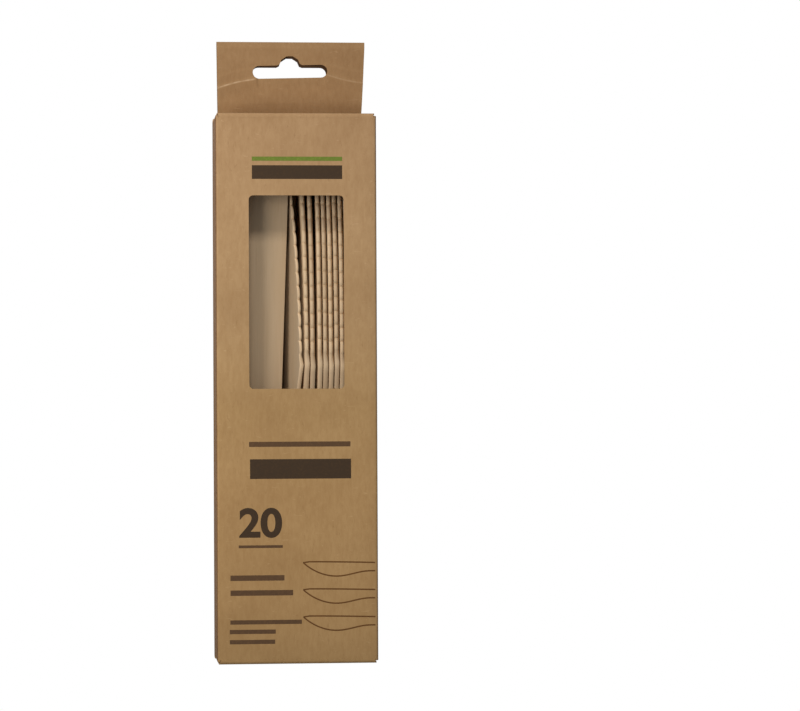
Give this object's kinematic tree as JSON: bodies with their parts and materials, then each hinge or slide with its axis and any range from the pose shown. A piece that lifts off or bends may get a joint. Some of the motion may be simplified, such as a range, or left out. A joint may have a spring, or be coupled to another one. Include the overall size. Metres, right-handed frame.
{
  "type": "wooden cutlery pack",
  "caption": "Kraft card carton with a rounded window, a hang header with a slot and two tuck flaps, filled with flat wooden knives with scalloped blades.",
  "frame": {"origin": "middle of the pack's footprint, on the surface it lies on, under the outer back layer", "axes": "+X to the pack's right, +Y towards the hang header, +Z out of the front panel; the pack lies on its back"},
  "size_m": [0.0542, 0.2116, 0.0261],
  "materials": {
    "kraft_card": "matt natural kraft board",
    "birch_wood": "unfinished planed birch"
  },
  "bodies": {
    "carton": {"carton_body": "kraft_card", "knife_01": "birch_wood", "knife_02": "birch_wood", "knife_03": "birch_wood", "knife_04": "birch_wood", "knife_05": "birch_wood", "knife_06": "birch_wood", "knife_07": "birch_wood", "knife_08": "birch_wood", "knife_09": "birch_wood", "knife_10": "birch_wood", "knife_11": "birch_wood", "knife_12": "birch_wood", "knife_13": "birch_wood", "knife_14": "birch_wood", "knife_15": "birch_wood", "knife_16": "birch_wood", "knife_17": "birch_wood", "knife_18": "birch_wood", "knife_19": "birch_wood", "knife_20": "birch_wood"},
    "top_flap": {"top_tuck_flap": "kraft_card"},
    "bottom_flap": {"bottom_tuck_flap": "kraft_card"}
  },
  "joints": [
    {"name": "top_flap_fold", "type": "hinge", "parent": "carton", "child": "top_flap", "pos_m": [0, 0.07925, 0.02615], "axis": [1, 0, 0], "range_deg": [0, 180]},
    {"name": "bottom_flap_fold", "type": "hinge", "parent": "carton", "child": "bottom_flap", "pos_m": [0, -0.10575, 0.02615], "axis": [-1, 0, 0], "range_deg": [0, 180]}
  ]
}
